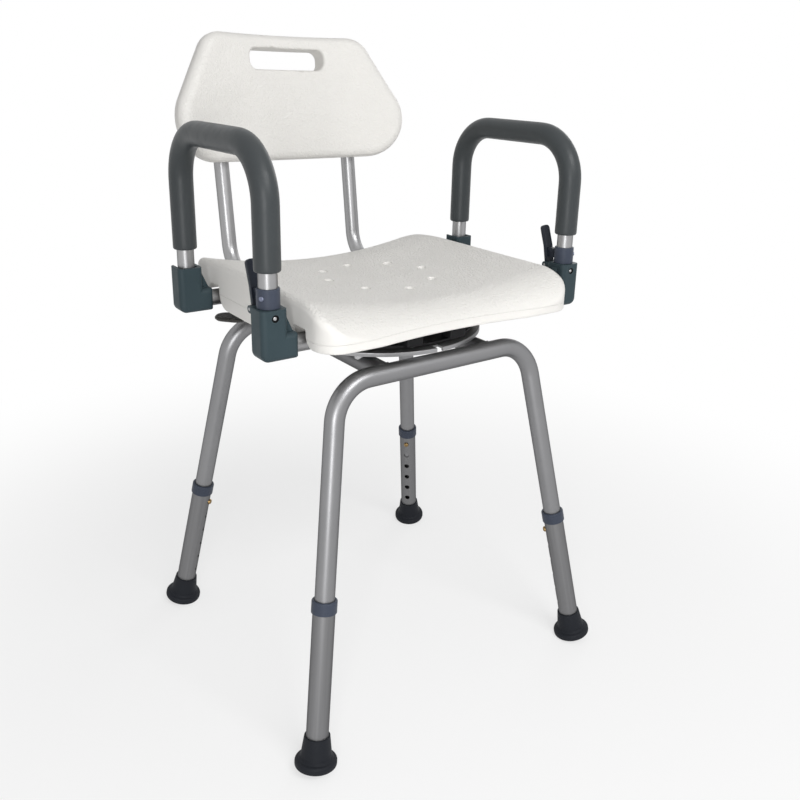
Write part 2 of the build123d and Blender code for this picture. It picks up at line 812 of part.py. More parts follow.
def arm_path(rear_z, front_z):
    return [
        (arm_x, arm_rear_y, rear_z),
        (arm_x, arm_rear_y, arm_top_z),
        (arm_x, arm_front_y, arm_top_z),
        (arm_x, arm_front_y, front_z),
    ]


def arm_tube():
    path = arm_path(arm_pivot_z + plug_shoulder, sleeve_seat_z)
    tube = bent_tube(path, arm_bend_r, arm_tube_od, arm_tube_wall)
    return tube - arm_rivet(snug)


def arm_grip():
    foam = (grip_od - arm_tube_od) / 2 - snug
    grip = bent_tube(arm_path(grip_rear_z, grip_front_z), arm_bend_r, grip_od, foam)
    rims = [edge for edge in grip.edges() if grip_rim(edge)]
    return fillet(rims, grip_end_r)


def grip_rim(edge):
    if edge.geom_type != GeomType.CIRCLE:
        return False
    at_end = min(abs(edge.center().Z - grip_rear_z), abs(edge.center().Z - grip_front_z)) < 0.1
    return at_end and edge.radius > grip_od / 2 - 1


def latch_sleeve():
    low = bracket_top_z + sleeve_step
    body = rod(sleeve_od / 2, low, sleeve_top_z)
    body = fillet(body.edges().group_by(Axis.Z)[-1], sleeve_edge_r)
    body -= rod(arm_tube_od / 2 + snug, sleeve_seat_z, sleeve_top_z + past)
    spigot_middle = low - spigot_length / 2
    body += Pos(0, 0, spigot_middle) * Cone(spigot_end_d / 2, spigot_top_d / 2, spigot_length)
    window = block(
        (-catch_width / 2, 0, catch_z - catch_height / 2),
        (catch_width / 2, sleeve_od, catch_z + catch_height / 2),
    )
    body -= window - rod(arm_tube_od / 2 + snug, 0, arm_top_z)
    return Pos(arm_x, arm_front_y, 0) * body - arm_rivet(snug)


def arm_rivet(room):
    surface = sleeve_od / 2
    rivet = rod_x(rivet_d / 4 + room, arm_tube_od / 2 - rivet_hold, surface, 0, catch_z)
    if not room:
        head = rod_x(rivet_d / 2, surface - rivet_proud, surface + rivet_proud, 0, catch_z)
        head = fillet(head.edges().group_by(Axis.X)[-1], rivet_proud * 0.8)
        rivet += head - rod(surface + snug, 0, arm_top_z)
    return Pos(arm_x, arm_front_y, 0) * Rot(0, 0, -rivet_turn) * rivet


def pivot_plug():
    radius = arm_tube_od / 2
    shoulder = arm_pivot_z + plug_shoulder
    plug = rod(radius, arm_pivot_z - radius, shoulder)
    plug += rod(radius - arm_tube_wall - snug, shoulder, shoulder + plug_spigot)
    plug = Pos(arm_x, arm_rear_y, 0) * plug
    heel = rod_x(radius, 0, 2 * arm_x, arm_rear_y, arm_pivot_z)
    heel += block((0, -foot_y, arm_pivot_z), (2 * arm_x, foot_y, arm_top_z))
    plug = plug & heel
    return plug - rod_x(arm_pin_d / 2 + pivot_clearance, 0, 2 * arm_x, arm_rear_y, arm_pivot_z)


def back_plane():
    lean = radians(back_lean)
    forward = (0, -cos(lean), sin(lean))
    return Plane(origin=(0, back_corner_y, cross_tube_z), x_dir=(1, 0, 0), z_dir=forward)


def back_socket():
    radius = back_tube_od / 2 + back_socket_wall
    end = arm_rear_y + cross_tube_od / 2 + back_socket_length
    socket = rod_y(radius, arm_rear_y, end, back_tube_x, cross_tube_z)
    socket -= rod_y(back_tube_od / 2 + snug, arm_rear_y - past, end + past, back_tube_x, cross_tube_z)
    return socket - rod_x(cross_tube_od / 2 + snug, -arm_x, arm_x, arm_rear_y, cross_tube_z)


def back_tube(side):
    plane = back_plane()
    start_y = arm_rear_y + cross_tube_od / 2 + back_socket_wall
    corner = plane.from_local_coords((side * back_tube_x, 0, 0))
    top = plane.from_local_coords((side * back_tube_x, back_tube_top, 0))
    start = Vector(side * back_tube_x, start_y, cross_tube_z)
    tube = bent_tube([start, corner, top], back_bend_r, back_tube_od, back_tube_wall)
    for height in back_screw_rows:
        tube -= back_screw(side, height, snug)
    return tube


def back_tube_cap(side):
    cap = rod(back_tube_od / 2, 0, cap_height)
    cap = fillet(cap.edges().group_by(Axis.Z)[-1], cap_edge_r)
    cap += rod(back_tube_od / 2 - back_tube_wall - snug, -cap_spigot, 0)
    return back_plane() * Pos(side * back_tube_x, back_tube_top, 0) * Rot(-90, 0, 0) * cap


def back_screw(side, height, room):
    radius = back_tube_od / 2
    screw = rod(back_screw_d / 2 + room, -radius, radius + panel_thick / 3)
    if not room:
        head = rod(back_screw_d, -radius - back_screw_head, -radius + back_screw_round)
        head = fillet(head.edges().group_by(Axis.Z)[0], back_screw_round)
        tube = Rot(-90, 0, 0) * rod(radius + snug, -back_screw_d * 2, back_screw_d * 2)
        screw += head - tube
    return back_plane() * Pos(side * back_tube_x, height, 0) * screw


def panel_outline():
    top = panel_bottom + panel_height
    with BuildSketch() as outline:
        with BuildLine():
            Polyline(
                (-panel_low_x, panel_bottom),
                (panel_low_x, panel_bottom),
                (panel_top_x, top),
                (-panel_top_x, top),
                close=True,
            )
        make_face()
        fillet(outline.vertices().group_by(Axis.Y)[0], panel_low_r)
        fillet(outline.vertices().group_by(Axis.Y)[-1], panel_top_r)
    return outline.sketch


def backrest_panel():
    half = panel_thick / 2
    bow_drop = back_tube_x**2 / (2 * (panel_bow_r + half))
    middle = back_tube_od / 2 - panel_seat_depth - bow_drop + half
    centre = Pos(0, 0, middle + panel_bow_r) * Rot(-90, 0, 0)
    reach = 2 * panel_bottom + panel_height
    slab = centre * ring(panel_bow_r + half, panel_bow_r - half, 0, reach)
    blank = extrude(Pos(0, 0, middle - panel_thick) * panel_outline(), 4 * panel_thick)
    panel = slab & blank
    slot_y = panel_bottom + panel_height - slot_below_top
    slot = extrude(RectangleRounded(slot_length, slot_height, slot_r), 4 * panel_thick, both=True)
    slot = Pos(0, slot_y, 0) * slot
    bow_edges = [edge for edge in panel.edges() if edge.length > 1 and not across_edge(edge, half)]
    panel = fillet(bow_edges, panel_edge_r)
    panel -= slot
    rims = [edge for edge in panel.edges() if slot_rim(edge, slot_y) and not across_edge(edge, half)]
    panel = fillet(rims, slot_edge_r)
    for side in (-1, 1):
        seat_end = back_tube_top + cap_height + snug
        panel -= Pos(side * back_tube_x, 0, 0) * Rot(-90, 0, 0) * rod(back_tube_od / 2 + snug, 0, seat_end)
    panel = back_plane() * panel
    for side in (-1, 1):
        for height in back_screw_rows:
            panel -= back_screw(side, height, snug)
    return panel


def slot_rim(edge, slot_y):
    middle = edge.center()
    near_x = abs(middle.X) < slot_length / 2 + past
    return near_x and abs(middle.Y - slot_y) < slot_height / 2 + past


def across_edge(edge, half):
    return edge.geom_type == GeomType.LINE and abs(edge.length - 2 * half) < half / 2


def lock_strip_line():
    knuckle = (lock_pivot_x, 0)
    elbow = (lock_elbow_x, 0)
    turn = radians(paddle_turn)
    root = (paddle_x - cos(turn) * paddle_length * 0.45, paddle_y - sin(turn) * paddle_length * 0.45)
    end = (paddle_x + cos(turn) * paddle_length * 0.2, paddle_y + sin(turn) * paddle_length * 0.2)
    return FilletPolyline(knuckle, elbow, root, end, radius=lock_width)


def lock_lever():
    strip = extrude(Pos(0, 0, lock_pivot_z) * trace(lock_strip_line(), lock_width), lock_strip / 2, both=True)
    half = lock_width / 2
    lever = strip + rod_y(lock_knuckle_d / 2, -half, half, lock_pivot_x, lock_pivot_z)
    tongue = block(
        (tongue_x - tongue_thick / 2, -tongue_width / 2, disc_top_z + tongue_above_disc),
        (tongue_x + tongue_thick / 2, tongue_width / 2, lock_pivot_z),
    )
    lever += tongue
    return lever - rod_y(lock_pin_d / 2 + snug, -lock_width, lock_width, lock_pivot_x, lock_pivot_z)


def lock_lever_grip():
    outline = SlotOverall(paddle_length, paddle_width)
    paddle = extrude(outline, paddle_thick / 2, both=True)
    paddle = chamfer(paddle.faces().filter_by(Axis.Z).edges(), paddle_edge)
    paddle = Pos(paddle_x, paddle_y, lock_pivot_z) * Rot(0, 0, paddle_turn) * paddle
    sleeve = Pos(0, 0, lock_pivot_z) * trace(lock_strip_line(), lock_width + 2 * snug)
    return paddle - extrude(sleeve, lock_strip / 2 + snug, both=True)


def lock_lever_pin():
    reach = lock_width / 2 + slide_clearance + lock_lug
    return rod_y(lock_pin_d / 2, -reach, reach, lock_pivot_x, lock_pivot_z)


def both_sides(shape):
    return Compound(children=[mirror(shape, about=Plane.YZ), shape])


def all_parts():
    parts = {
        "side_rails": Compound(children=[side_rail(-1), side_rail(1)]),
        "swivel_base_disc": swivel_base_disc(),
        "disc_saddle_washers": each_corner(saddle_washer),
        "disc_bolts": each_corner(lambda side, end: disc_bolt(side, end, 0)),
        "disc_nuts": each_corner(disc_nut),
        "swivel_glide_ring": ring(glide_outer_d / 2, glide_inner_d / 2, disc_top_z, disc_top_z + glide_h),
        "pivot_bolt": pivot_bolt(),
        "pivot_bush": pivot_bush(),
        "swivel_top_plate": swivel_top_plate(),
        "seat_shell": seat_shell(),
        "front_cross_tube": cross_tube(arm_front_y, front_saddle_x),
        "rear_cross_tube": cross_tube(arm_rear_y, rear_saddle_x),
        "cross_tube_saddles": Compound(children=[cross_tube_saddle(x, y) for x, y in saddle_places()]),
        "seat_bolts": Compound(children=[Pos(x, y, 0) * seat_bolt(0) for x, y in saddle_places()]),
        "bracket_screws": both_sides(bracket_screw(0)),
        "arm_pivot_pins": both_sides(arm_pin(0)),
        "latch_pins": both_sides(latch_pin(0)),
        "back_sockets": both_sides(back_socket()),
        "backrest_panel": backrest_panel(),
        "backrest_screws": Compound(
            children=[back_screw(side, height, 0) for side in (-1, 1) for height in back_screw_rows]
        ),
        "back_tube_caps": Compound(children=[back_tube_cap(-1), back_tube_cap(1)]),
        "lock_lever": lock_lever(),
        "lock_lever_grip": lock_lever_grip(),
        "lock_lever_pin": lock_lever_pin(),
    }
    for end_name, end in ends.items():
        parts[end_name + "_leg_hoop"] = leg_hoop(end)
        for side_name, side in sides.items():
            place = leg_plane(side, end)
            corner = end_name + "_" + side_name
            parts[corner + "_leg_tube"] = place * lower_tube()
            parts[corner + "_collar"] = place * collar()
            parts[corner + "_foot_tip"] = foot_tip(side, end)
            parts[corner + "_snap_button"] = place * snap_button()
            bracket = front_bracket() if end < 0 else rear_bracket()
            parts[corner + "_arm_bracket"] = on_side(bracket, side)
    for side_name, side in sides.items():
        parts[side_name + "_back_tube"] = back_tube(side)
        parts[side_name + "_arm_tube"] = on_side(arm_tube(), side)
        parts[side_name + "_arm_grip"] = on_side(arm_grip(), side)
        parts[side_name + "_latch_sleeve"] = on_side(latch_sleeve(), side)
        parts[side_name + "_pivot_plug"] = on_side(pivot_plug(), side)
        parts[side_name + "_arm_rivet"] = on_side(arm_rivet(0), side)
        parts[side_name + "_latch_lever"] = on_side(latch_lever(), side)
    return parts


def main():
    os.makedirs("parts", exist_ok=True)
    for node, shape in all_parts().items():
        export_step(shape, "parts/" + node + ".step")


if __name__ == "__main__":
    main()
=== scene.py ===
import json
import math
import bpy
import bmesh
from mathutils import Vector, Matrix
from mathutils.bvhtree import BVHTree


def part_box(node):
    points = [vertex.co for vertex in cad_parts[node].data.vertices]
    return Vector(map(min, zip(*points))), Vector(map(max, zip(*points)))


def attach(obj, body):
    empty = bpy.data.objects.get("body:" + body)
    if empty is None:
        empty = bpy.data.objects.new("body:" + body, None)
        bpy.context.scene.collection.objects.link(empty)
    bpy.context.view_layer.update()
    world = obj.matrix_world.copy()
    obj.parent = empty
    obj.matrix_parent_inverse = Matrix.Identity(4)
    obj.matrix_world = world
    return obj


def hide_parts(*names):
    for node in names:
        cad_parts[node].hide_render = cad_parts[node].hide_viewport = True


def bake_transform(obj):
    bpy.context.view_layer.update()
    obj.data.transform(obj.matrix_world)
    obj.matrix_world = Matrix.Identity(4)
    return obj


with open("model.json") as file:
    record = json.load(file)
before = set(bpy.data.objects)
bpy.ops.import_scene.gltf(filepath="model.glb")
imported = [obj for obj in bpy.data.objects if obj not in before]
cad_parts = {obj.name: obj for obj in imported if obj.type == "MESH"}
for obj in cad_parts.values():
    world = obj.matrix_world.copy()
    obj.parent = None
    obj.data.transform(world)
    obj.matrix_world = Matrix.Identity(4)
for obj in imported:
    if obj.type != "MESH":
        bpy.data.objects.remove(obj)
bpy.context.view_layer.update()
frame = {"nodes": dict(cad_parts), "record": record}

nodes = frame["nodes"]
scene = bpy.context.scene
scene.view_settings.view_transform = "Standard"
print("frame loaded:", len(nodes), "nodes")


# Camera, at the photograph's viewing angle
cameraSettings = {
    "place": (-0.6442, -0.9435, 0.8350),  # metres, in the chair's frame
    "yaw": 37.24,  # degrees from +Y towards +X
    "pitch": 18.48,  # degrees downwards
    "roll": 1.71,
    "lens": 37.42,
    "shift": (-0.0205, -0.0622),
    "clipEnd": 100,
}


def makeCamera(s):
    yaw = math.radians(s["yaw"])
    pitch = math.radians(s["pitch"])
    ahead = Vector((math.sin(yaw) * math.cos(pitch), math.cos(yaw) * math.cos(pitch), -math.sin(pitch)))
    right = ahead.cross(Vector((0, 0, 1))).normalized()
    turned = Matrix.Rotation(-math.radians(s["roll"]), 3, ahead) @ right
    up = turned.cross(ahead)
    data = bpy.data.cameras.new("photoCamera")
    data.lens = s["lens"]
    data.shift_x, data.shift_y = s["shift"]
    data.clip_end = s["clipEnd"]
    camera = bpy.data.objects.new("photoCamera", data)
    camera.matrix_world = Matrix.Translation(s["place"]) @ Matrix((turned, up, -ahead)).transposed().to_4x4()
    scene.collection.objects.link(camera)
    scene.camera = camera


makeCamera(cameraSettings)
print("camera set")


# Small helpers for node trees
def addNode(tree, kind, place, **values):
    node = tree.nodes.new(kind)
    node.location = place
    for key, value in values.items():
        if hasattr(node, key):
            setattr(node, key, value)
        else:
            node.inputs[key].default_value = value
    return node


def startGroup(name, inputs, outputs):
    group = bpy.data.node_groups.new(name, "ShaderNodeTree")
    for label, kind, value in inputs:
        socket = group.interface.new_socket(name=label, in_out="INPUT", socket_type=kind)
        socket.default_value = value
    for label, kind in outputs:
        group.interface.new_socket(name=label, in_out="OUTPUT", socket_type=kind)
    first = addNode(group, "NodeGroupInput", (-900, 0))
    last = addNode(group, "NodeGroupOutput", (600, 0))
    return group, first, last


# Moulded grain: rounded pebbles with fine speckle
def makeGrainGroup():
    group, first, last = startGroup(
        "mouldGrain",
        [
            ("Vector", "NodeSocketVector", (0, 0, 0)),
            ("Scale", "NodeSocketFloat", 300.0),
            ("Speckle", "NodeSocketFloat", 0.3),
        ],
        [("Height", "NodeSocketFloat")],
    )
    link = group.links.new
    cells = addNode(group, "ShaderNodeTexVoronoi", (-600, 150), feature="SMOOTH_F1", Smoothness=0.6)
    warp = addNode(group, "ShaderNodeTexNoise", (-1150, 200), Scale=120.0, Detail=2.0)
    link(first.outputs["Vector"], warp.inputs["Vector"])
    shift = addNode(group, "ShaderNodeVectorMath", (-950, 250), operation="MULTIPLY_ADD")
    shift.inputs[1].default_value = (0.006, 0.006, 0.006)  # how far the pebbles wander
    link(warp.outputs["Color"], shift.inputs[0])
    link(first.outputs["Vector"], shift.inputs[2])
    link(shift.outputs["Vector"], cells.inputs["Vector"])
    link(first.outputs["Scale"], cells.inputs["Scale"])
    finer = addNode(group, "ShaderNodeMath", (-780, -150), operation="MULTIPLY")
    finer.inputs[1].default_value = 2.6  # the speckle is this much finer than the pebbles
    link(first.outputs["Scale"], finer.inputs[0])
    dots = addNode(group, "ShaderNodeTexNoise", (-600, -150), Detail=3.0)
    link(first.outputs["Vector"], dots.inputs["Vector"])
    link(finer.outputs[0], dots.inputs["Scale"])
    bumps = addNode(group, "ShaderNodeMapRange", (-400, 150))
    bumps.inputs["From Max"].default_value = 0.7  # pebbles are highest in the middle
    bumps.inputs["To Min"].default_value = 1.0
    bumps.inputs["To Max"].default_value = 0.0
    link(cells.outputs["Distance"], bumps.inputs["Value"])
    both = addNode(group, "ShaderNodeMix", (-150, 50), data_type="FLOAT")
    link(first.outputs["Speckle"], both.inputs["Factor"])
    link(bumps.outputs["Result"], both.inputs["A"])
    link(dots.outputs["Fac"], both.inputs["B"])
    link(both.outputs["Result"], last.inputs["Height"])
    return group


# Uneven tone: slow blotches that shift colour or roughness a little
def makeToneGroup():
    group, first, last = startGroup(
        "unevenTone",
        [
            ("Vector", "NodeSocketVector", (0, 0, 0)),
            ("Scale", "NodeSocketFloat", 20.0),
            ("Low", "NodeSocketFloat", 0.9),
            ("High", "NodeSocketFloat", 1.0),
        ],
        [("Value", "NodeSocketFloat")],
    )
    link = group.links.new
    noise = addNode(group, "ShaderNodeTexNoise", (-600, 0), Detail=5.0, Roughness=0.55)
    link(first.outputs["Vector"], noise.inputs["Vector"])
    link(first.outputs["Scale"], noise.inputs["Scale"])
    reach = addNode(group, "ShaderNodeMapRange", (-300, 0))
    reach.inputs["From Min"].default_value = 0.3  # the part of the noise that is used
    reach.inputs["From Max"].default_value = 0.7
    link(noise.outputs["Fac"], reach.inputs["Value"])
    link(first.outputs["Low"], reach.inputs["To Min"])
    link(first.outputs["High"], reach.inputs["To Max"])
    link(reach.outputs["Result"], last.inputs["Value"])
    return group


# Facing: 1 where the surface faces along an axis, 0 where it turns away
def makeFacingGroup():
    group, first, last = startGroup(
        "facing",
        [
            ("Vector", "NodeSocketVector", (0, 0, 1)),
            ("Axis", "NodeSocketVector", (0, 0, 1)),
            ("Start", "NodeSocketFloat", 0.5),
            ("End", "NodeSocketFloat", 0.9),
        ],
        [("Mask", "NodeSocketFloat")],
    )
    link = group.links.new
    along = addNode(group, "ShaderNodeVectorMath", (-600, 0), operation="DOT_PRODUCT")
    link(first.outputs["Vector"], along.inputs[0])
    link(first.outputs["Axis"], along.inputs[1])
    size = addNode(group, "ShaderNodeMath", (-400, 0), operation="ABSOLUTE")
    link(along.outputs["Value"], size.inputs[0])
    mask = addNode(group, "ShaderNodeMapRange", (-150, 0), interpolation_type="SMOOTHSTEP")
    link(size.outputs[0], mask.inputs["Value"])
    link(first.outputs["Start"], mask.inputs["From Min"])
    link(first.outputs["End"], mask.inputs["From Max"])
    link(mask.outputs["Result"], last.inputs["Mask"])
    return group


# Seam line: 1 in a narrow band where a coordinate passes a level, for mould seams
def makeLineGroup():
    group, first, last = startGroup(
        "seamLine",
        [
            ("Vector", "NodeSocketVector", (0, 0, 0)),
            ("Axis", "NodeSocketVector", (0, 0, 1)),
            ("Level", "NodeSocketFloat", 0.0),
            ("Width", "NodeSocketFloat", 0.001),
        ],
        [("Mask", "NodeSocketFloat")],
    )
    link = group.links.new
    along = addNode(group, "ShaderNodeVectorMath", (-600, 0), operation="DOT_PRODUCT")
    link(first.outputs["Vector"], along.inputs[0])
    link(first.outputs["Axis"], along.inputs[1])
    off = addNode(group, "ShaderNodeMath", (-400, 0), operation="SUBTRACT")
    link(along.outputs["Value"], off.inputs[0])
    link(first.outputs["Level"], off.inputs[1])
    size = addNode(group, "ShaderNodeMath", (-250, 0), operation="ABSOLUTE")
    link(off.outputs[0], size.inputs[0])
    mask = addNode(group, "ShaderNodeMapRange", (0, 0), interpolation_type="SMOOTHSTEP")
    mask.inputs["To Min"].default_value = 1.0
    mask.inputs["To Max"].default_value = 0.0
    link(size.outputs[0], mask.inputs["Value"])
    link(first.outputs["Width"], mask.inputs["From Max"])
    link(mask.outputs["Result"], last.inputs["Mask"])
    return group


# Drawn: squeezes a place along a tube's axis, so that noise runs in streaks
def makeDrawnGroup():
    group, first, last = startGroup(
        "drawn",
        [
            ("Vector", "NodeSocketVector", (0, 0, 0)),
            ("Axis", "NodeSocketVector", (0, 0, 1)),
            ("Squeeze", "NodeSocketFloat", 0.98),
        ],
        [("Vector", "NodeSocketVector")],
    )
    link = group.links.new
    along = addNode(group, "ShaderNodeVectorMath", (-600, 0), operation="DOT_PRODUCT")
    link(first.outputs["Vector"], along.inputs[0])
    link(first.outputs["Axis"], along.inputs[1])
    part = addNode(group, "ShaderNodeMath", (-400, -100), operation="MULTIPLY")
    link(along.outputs["Value"], part.inputs[0])
    link(first.outputs["Squeeze"], part.inputs[1])
    run = addNode(group, "ShaderNodeVectorMath", (-200, -100), operation="SCALE")
    link(first.outputs["Axis"], run.inputs[0])
    link(part.outputs[0], run.inputs["Scale"])
    left = addNode(group, "ShaderNodeVectorMath", (100, 0), operation="SUBTRACT")
    link(first.outputs["Vector"], left.inputs[0])
    link(run.outputs["Vector"], left.inputs[1])
    link(left.outputs["Vector"], last.inputs["Vector"])
    return group


# Hatch: a raised square mesh in plan, for a gripping surface
def makeHatchGroup():
    group, first, last = startGroup(
        "hatch",
        [
            ("Vector", "NodeSocketVector", (0, 0, 0)),
            ("Pitch", "NodeSocketFloat", 0.003),
        ],
        [("Height", "NodeSocketFloat")],
    )
    link = group.links.new
    turn = addNode(group, "ShaderNodeMath", (-700, -200), operation="DIVIDE")
    turn.inputs[0].default_value = 2 * math.pi
    link(first.outputs["Pitch"], turn.inputs[1])
    angle = addNode(group, "ShaderNodeVectorMath", (-500, 0), operation="SCALE")
    link(first.outputs["Vector"], angle.inputs[0])
    link(turn.outputs[0], angle.inputs["Scale"])
    wave = addNode(group, "ShaderNodeVectorMath", (-300, 0), operation="SINE")
    link(angle.outputs["Vector"], wave.inputs[0])
    split = addNode(group, "ShaderNodeSeparateXYZ", (-100, 0))
    link(wave.outputs["Vector"], split.inputs[0])
    ridge = addNode(group, "ShaderNodeMath", (100, 0), operation="MAXIMUM")
    link(split.outputs["X"], ridge.inputs[0])
    link(split.outputs["Y"], ridge.inputs[1])
    link(ridge.outputs[0], last.inputs["Height"])
    return group


grainGroup = makeGrainGroup()
toneGroup = makeToneGroup()
facingGroup = makeFacingGroup()
lineGroup = makeLineGroup()
drawnGroup = makeDrawnGroup()
hatchGroup = makeHatchGroup()


def placeGroup(tree, group, vector, place, **values):
    node = addNode(tree, "ShaderNodeGroup", place)
    node.node_tree = group
    for key, value in values.items():
        node.inputs[key].default_value = value
    tree.links.new(vector, node.inputs["Vector"])
    return node


# One recipe for every finish: tint, sheen and relief differ by settings
plainFinish = {  # holds where a finish says nothing else
    "metal": 0.0,
    "ior": 1.46,
    "specular": 0.5,
    "edge": 1.0,  # tint of reflections at a grazing angle
    "toneScale": 14.0,
    "dark": 0.92,
    "streakScale": 90.0,
    "roughSpread": 0.05,
    "grainScale": 600.0,
    "speckle": 0.5,
    "bump": 0.1,
    "bumpDepth": 0.0004,
}
reliefSettings = {
    "faceStart": 0.45,  # grain fades out where a broad face turns away
    "faceEnd": 0.85,
    "seamWidth": 0.0009,
    "seamDepth": 0.35,
    "edgeSamples": 6,
}


def makeFinish(name, settings):
    s = {**plainFinish, **settings}
    relief = reliefSettings
    material = bpy.data.materials.new(name)
    material.use_nodes = True
    tree = material.node_tree
    link = tree.links.new
    shader = tree.nodes["Principled BSDF"]
    shader.inputs["Metallic"].default_value = s["metal"]
    shader.inputs["IOR"].default_value = s["ior"]
    shader.inputs["Specular IOR Level"].default_value = s["specular"]
    shader.inputs["Specular Tint"].default_value = (s["edge"], s["edge"], s["edge"], 1.0)
    coords = addNode(tree, "ShaderNodeTexCoord", (-1300, 0))
    vector = coords.outputs["Object"]
    flow = vector
    if "drawn" in s:  # streaks along the tube
        flow = placeGroup(tree, drawnGroup, vector, (-1050, 150), Axis=s["drawn"]).outputs["Vector"]
    tone = placeGroup(tree, toneGroup, flow, (-800, 250), Scale=s["toneScale"], Low=s["dark"], High=1.0)
    colour = addNode(tree, "ShaderNodeMix", (-450, 250), data_type="RGBA", blend_type="MULTIPLY")
    colour.inputs["Factor"].default_value = 1.0
    colour.inputs[6].default_value = (*s["colour"], 1.0)  # 6 and 7 are the colours A and B
    link(tone.outputs["Value"], colour.inputs[7])
    link(colour.outputs[2], shader.inputs["Base Color"])
    low, high = s["rough"] - s["roughSpread"], s["rough"] + s["roughSpread"]
    streak = placeGroup(tree, toneGroup, flow, (-800, 0), Scale=s["streakScale"], Low=low, High=high)
    link(streak.outputs["Value"], shader.inputs["Roughness"])
    spot = (-800, -250)
    if "hatch" in s:
        pattern = placeGroup(tree, hatchGroup, vector, spot, Pitch=s["hatch"])
    else:
        pattern = placeGroup(tree, grainGroup, vector, spot, Scale=s["grainScale"], Speckle=s["speckle"])
    height = pattern.outputs["Height"]
    if "facing" in s:  # grain only on the broad faces
        face = placeGroup(tree, facingGroup, coords.outputs["Normal"], (-800, -500), Axis=s["facing"])
        face.inputs["Start"].default_value = relief["faceStart"]
        face.inputs["End"].default_value = relief["faceEnd"]
        kept = addNode(tree, "ShaderNodeMath", (-550, -300), operation="MULTIPLY")
        link(height, kept.inputs[0])
        link(face.outputs["Mask"], kept.inputs[1])
        height = kept.outputs[0]
    if "seam" in s:  # mould parting line
        axis, level = s["seam"]
        seam = placeGroup(tree, lineGroup, vector, (-800, -750), Axis=axis, Level=level, Width=relief["seamWidth"])
        cut = addNode(tree, "ShaderNodeMath", (-400, -400), operation="MULTIPLY_ADD")
        cut.inputs[1].default_value = -relief["seamDepth"]
        link(seam.outputs["Mask"], cut.inputs[0])
        link(height, cut.inputs[2])
        height = cut.outputs[0]
    bump = addNode(tree, "ShaderNodeBump", (-250, -350))
    bump.inputs["Strength"].default_value = s["bump"]
    bump.inputs["Distance"].default_value = s["bumpDepth"]
    link(height, bump.inputs["Height"])
    if "soft" in s:  # moulded edges catch the light
        rounded = addNode(tree, "ShaderNodeBevel", (-500, -650), samples=relief["edgeSamples"], Radius=s["soft"])
        link(rounded.outputs["Normal"], bump.inputs["Normal"])
    link(bump.outputs["Normal"], shader.inputs["Normal"])
    return material


# Finishes of the record's material slots
finishes = {
    "shell": {
        "colour": (0.80, 0.785, 0.755), "rough": 0.5, "specular": 0.25, "dark": 0.96, "toneScale": 9.0,
        "grainScale": 300.0, "speckle": 0.4, "bump": 1.0, "bumpDepth": 0.0014,
    },
    "foam": {
        "colour": (0.043, 0.049, 0.052), "rough": 0.41, "specular": 0.32, "dark": 0.9,
        "grainScale": 1500.0, "bump": 0.25, "bumpDepth": 0.0002,
    },
    "bracket_grey": {
        "colour": (0.035, 0.055, 0.064), "rough": 0.5, "specular": 0.2, "dark": 0.88, "soft": 0.0014,
        "grainScale": 1800.0, "bump": 0.15, "bumpDepth": 0.0002,
    },
    "collar_blue": {
        "colour": (0.052, 0.062, 0.088), "rough": 0.45, "specular": 0.2, "dark": 0.88, "soft": 0.0008,
        "grainScale": 1800.0, "bump": 0.1, "bumpDepth": 0.0002,
    },
    "lever_navy": {
        "colour": (0.024, 0.029, 0.041), "rough": 0.45, "specular": 0.2, "dark": 0.85,
        "grainScale": 1600.0, "bump": 0.15, "bumpDepth": 0.0002,
    },
    "tip_rubber": {
        "colour": (0.017, 0.019, 0.024), "rough": 0.6, "specular": 0.15, "dark": 0.8,
        "grainScale": 1300.0, "bump": 0.2, "bumpDepth": 0.0003,
    },
    "leg_metal": {
        "colour": (0.225, 0.225, 0.23), "metal": 0.95, "edge": 0.3, "rough": 0.46, "roughSpread": 0.03, "dark": 0.95,
        "grainScale": 3000.0, "speckle": 1.0, "bump": 0.02, "bumpDepth": 0.0001,
    },
    "bright_tube": {
        "colour": (0.36, 0.36, 0.365), "metal": 0.95, "edge": 0.3, "rough": 0.36, "roughSpread": 0.03, "dark": 0.95,
        "grainScale": 3000.0, "speckle": 1.0, "bump": 0.02, "bumpDepth": 0.0001,
    },
    "disc_silver": {
        "colour": (0.36, 0.36, 0.365), "metal": 0.8, "edge": 0.4, "rough": 0.4,
        "grainScale": 2200.0, "speckle": 0.8, "bump": 0.05, "bumpDepth": 0.0002,
    },
    "plate_black": {
        "colour": (0.012, 0.012, 0.013), "rough": 0.5, "specular": 0.2, "dark": 0.75,
        "grainScale": 1500.0, "bump": 0.15, "bumpDepth": 0.0002,
    },
    "steel": {
        "colour": (0.5, 0.5, 0.51), "metal": 0.95, "edge": 0.5, "rough": 0.3,
        "grainScale": 2500.0, "speckle": 1.0, "bump": 0.02, "bumpDepth": 0.0001,
    },
    "glide_nylon": {
        "colour": (0.6, 0.59, 0.55), "rough": 0.45,
        "grainScale": 1500.0, "bump": 0.08, "bumpDepth": 0.0002,
    },
    "button_brass": {
        "colour": (0.27, 0.18, 0.08), "metal": 1.0, "rough": 0.25,
        "grainScale": 2000.0, "speckle": 1.0, "bump": 0.02, "bumpDepth": 0.0001,
    },
}
materials = {slot: makeFinish(slot, s) for slot, s in finishes.items()}

